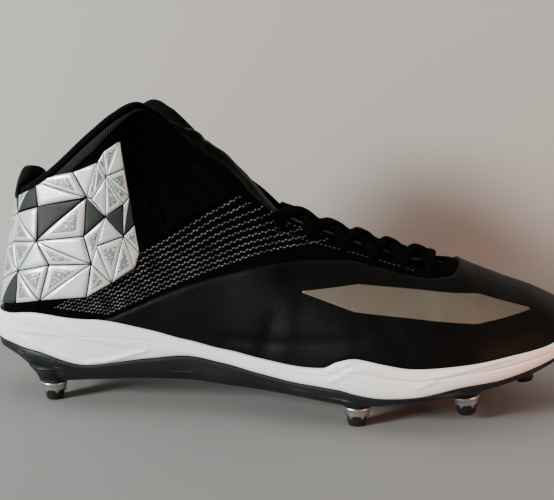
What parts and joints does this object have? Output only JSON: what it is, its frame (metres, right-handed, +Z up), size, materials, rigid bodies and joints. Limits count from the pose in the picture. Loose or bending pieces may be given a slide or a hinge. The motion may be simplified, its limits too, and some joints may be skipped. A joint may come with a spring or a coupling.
{
  "type": "american football cleat",
  "caption": "Right mid-cut football cleat: black laced upper with a raised collar, white cupped midsole with toe spring, black plate and metal-based studs.",
  "frame": {"origin": "middle of the shoe's length and width, on the floor under the heel and ball studs", "axes": "+X towards the toe, +Y towards the inner side, +Z up"},
  "size_m": [0.305, 0.1044, 0.1518],
  "materials": {
    "plate": "hard black moulded plastic with scuffs",
    "foam": "smooth white moulded foam, satin",
    "footbed": "dark knit cloth on foam",
    "mesh": "black woven mesh with light cords",
    "skin": "black synthetic skin, matte with a soft shine",
    "lining": "dark stretch fabric over foam",
    "tab": "dark grey fabric",
    "lace": "black woven lace",
    "steel": "bright turned metal",
    "tip": "hard black plastic"
  },
  "bodies": {
    "root": {"outsole": "plate", "midsole": "foam", "insole": "footbed", "upper": "mesh", "tongue": "lining", "forefoot_panel": "skin", "ankle_panel": "skin", "collar_cuff": "lining", "heel_tab": "tab", "laces": "lace", "stud_base_heel_outer": "steel", "stud_tip_heel_outer": "tip", "stud_base_heel_inner": "steel", "stud_tip_heel_inner": "tip", "stud_base_ball_outer": "steel", "stud_tip_ball_outer": "tip", "stud_base_ball_inner": "steel", "stud_tip_ball_inner": "tip", "stud_base_front_outer": "steel", "stud_tip_front_outer": "tip", "stud_base_front_inner": "steel", "stud_tip_front_inner": "tip", "stud_base_toe": "steel", "stud_tip_toe": "tip"}
  },
  "joints": []
}
